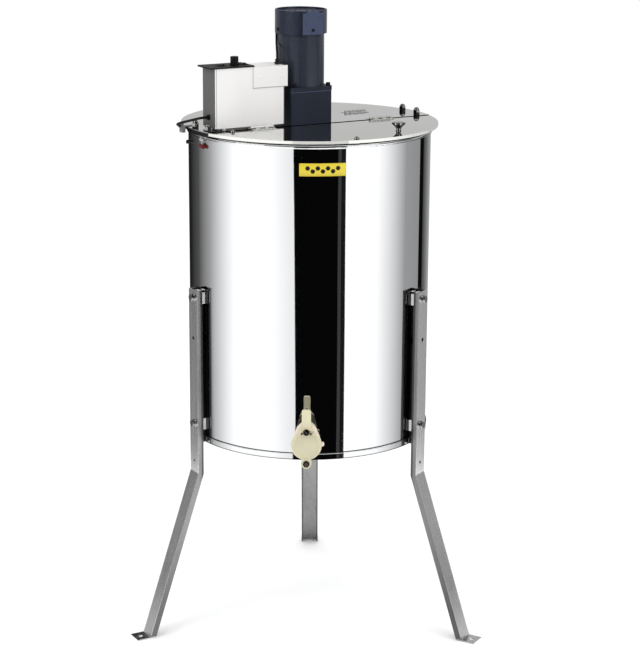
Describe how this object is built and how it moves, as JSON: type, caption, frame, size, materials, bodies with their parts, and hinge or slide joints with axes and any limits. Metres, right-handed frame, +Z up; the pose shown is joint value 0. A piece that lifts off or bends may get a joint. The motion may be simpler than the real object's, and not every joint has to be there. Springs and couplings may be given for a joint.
{
  "type": "honey extractor",
  "caption": "Electric tangential honey extractor: polished drum on splayed legs, crossbeam with geared motor and control box, two hinged half lids, honey gate.",
  "frame": {"origin": "on the floor under the axis of the drum", "axes": "+Z up along the drum axis; the honey gate faces -Y; +X to the right of someone facing the gate"},
  "size_m": [0.7392, 0.7299, 1.2925],
  "materials": {
    "polished_steel": "mirror polished stainless sheet",
    "brushed_steel": "satin stainless",
    "bright_fasteners": "polished",
    "gearmotor_paint": "satin dark blue-grey enamel",
    "fan_cover_plastic": "fine moulded texture",
    "blackened_screws": "black oxide",
    "black_plastic": "fine moulded texture",
    "sensor_plastic": "satin",
    "lead_jacket": "satin",
    "gate_nylon": "moulded ivory nylon",
    "gate_rubber": "food-grade rubber",
    "bushing_bronze": "sintered",
    "bearing_nylon": "turned",
    "gear_steel": "oiled",
    "motor_iron": "varnished laminations",
    "board_laminate": "solder mask",
    "earth_red": "gloss"
  },
  "bodies": {
    "drum": {"drum_wall": "polished_steel", "drum_floor": "polished_steel", "base_band": "polished_steel", "crossbeam": "polished_steel", "control_cover": "polished_steel", "motor_bracket": "polished_steel", "hinge_leaves_beam": "polished_steel", "leg_left": "brushed_steel", "leg_right": "brushed_steel", "leg_rear": "brushed_steel", "leg_brackets": "brushed_steel", "control_box": "brushed_steel", "beam_saddles": "brushed_steel", "leg_bolts": "bright_fasteners", "nut_plates": "bright_fasteners", "dome_nuts": "bright_fasteners", "gate_pivot_nut": "bright_fasteners", "hinge_pins": "bright_fasteners", "bracket_rivets": "bright_fasteners", "earth_stud": "bright_fasteners", "gearbox_housing": "gearmotor_paint", "gearbox_cover": "gearmotor_paint", "motor_body": "gearmotor_paint", "fan_cover": "fan_cover_plastic", "motor_screws": "blackened_screws", "control_panel": "black_plastic", "cable_glands": "black_plastic", "lid_sensor": "sensor_plastic", "leads": "lead_jacket", "gate_body": "gate_nylon", "gate_nut": "gate_nylon", "gate_seal": "gate_rubber", "gear_bushes": "bushing_bronze", "bearing_cup": "bearing_nylon", "stator": "motor_iron", "control_board": "board_laminate", "earth_sleeve": "earth_red"},
    "front_lid": {"front_lid": "polished_steel", "front_lid_knob": "bright_fasteners", "front_lid_fittings": "bright_fasteners", "hinge_leaves_front": "polished_steel"},
    "rear_lid": {"rear_lid": "polished_steel", "rear_lid_knob": "bright_fasteners", "rear_lid_fittings": "bright_fasteners", "hinge_leaves_rear": "polished_steel"},
    "speed_dial": {"speed_knob": "black_plastic"},
    "power_switch": {"power_rocker": "black_plastic"},
    "direction_switch": {"direction_rocker": "black_plastic"},
    "motor_rotor": {"rotor": "motor_iron", "cooling_fan": "fan_cover_plastic"},
    "idler": {"idler_gear": "gear_steel"},
    "cage": {"output_shaft": "gear_steel", "shaft_coupling": "brushed_steel", "cage_shaft": "brushed_steel", "cage_spiders": "brushed_steel", "cage_rings": "brushed_steel", "cage_uprights": "brushed_steel", "cage_screens": "brushed_steel"},
    "gate": {"gate_plate": "gate_nylon"},
    "gate_clamp": {"clamp_knob": "bright_fasteners"}
  },
  "joints": [
    {"name": "cage_spin", "type": "hinge", "parent": "drum", "child": "cage", "pos_m": [0, 0, 0.7], "axis": [0, 0, 1], "continuous": true},
    {"name": "rotor_spin", "type": "hinge", "parent": "drum", "child": "motor_rotor", "pos_m": [-0.01862, -0.01075, 1.19], "axis": [0, 0, 1], "continuous": true},
    {"name": "idler_spin", "type": "hinge", "parent": "drum", "child": "idler", "pos_m": [-0.02156, 0.00802, 1.1], "axis": [0, 0, 1], "continuous": true},
    {"name": "front_lid_hinge", "type": "hinge", "parent": "drum", "child": "front_lid", "pos_m": [0.02515, -0.04356, 1.0669], "axis": [-0.866, -0.5, 0], "range_deg": [0, 85]},
    {"name": "rear_lid_hinge", "type": "hinge", "parent": "drum", "child": "rear_lid", "pos_m": [-0.02515, 0.04356, 1.0669], "axis": [0.866, 0.5, 0], "range_deg": [0, 85]},
    {"name": "speed_dial_turn", "type": "hinge", "parent": "drum", "child": "speed_dial", "pos_m": [-0.14948, -0.10709, 1.198], "axis": [0, 0, -1], "range_deg": [0, 270]},
    {"name": "power_switch_rock", "type": "hinge", "parent": "drum", "child": "power_switch", "pos_m": [-0.17546, -0.12209, 1.188], "axis": [-0.5, 0.866, 0], "range_deg": [0, 15]},
    {"name": "direction_switch_rock", "type": "hinge", "parent": "drum", "child": "direction_switch", "pos_m": [-0.13303, -0.09759, 1.188], "axis": [-0.5, 0.866, 0], "range_deg": [0, 15]},
    {"name": "gate_swing", "type": "hinge", "parent": "drum", "child": "gate", "pos_m": [0, -0.298, 0.4185], "axis": [0, -1, 0], "range_deg": [0, 90]},
    {"name": "gate_clamp_turn", "type": "hinge", "parent": "drum", "child": "gate_clamp", "pos_m": [0, -0.306, 0.485], "axis": [0, -1, 0], "range_deg": [0, 180]}
  ],
  "couplings": [
    {"joint": "rotor_spin", "follows": "cage_spin", "ratio": 4.9524},
    {"joint": "idler_spin", "follows": "cage_spin", "ratio": -2.2857}
  ]
}
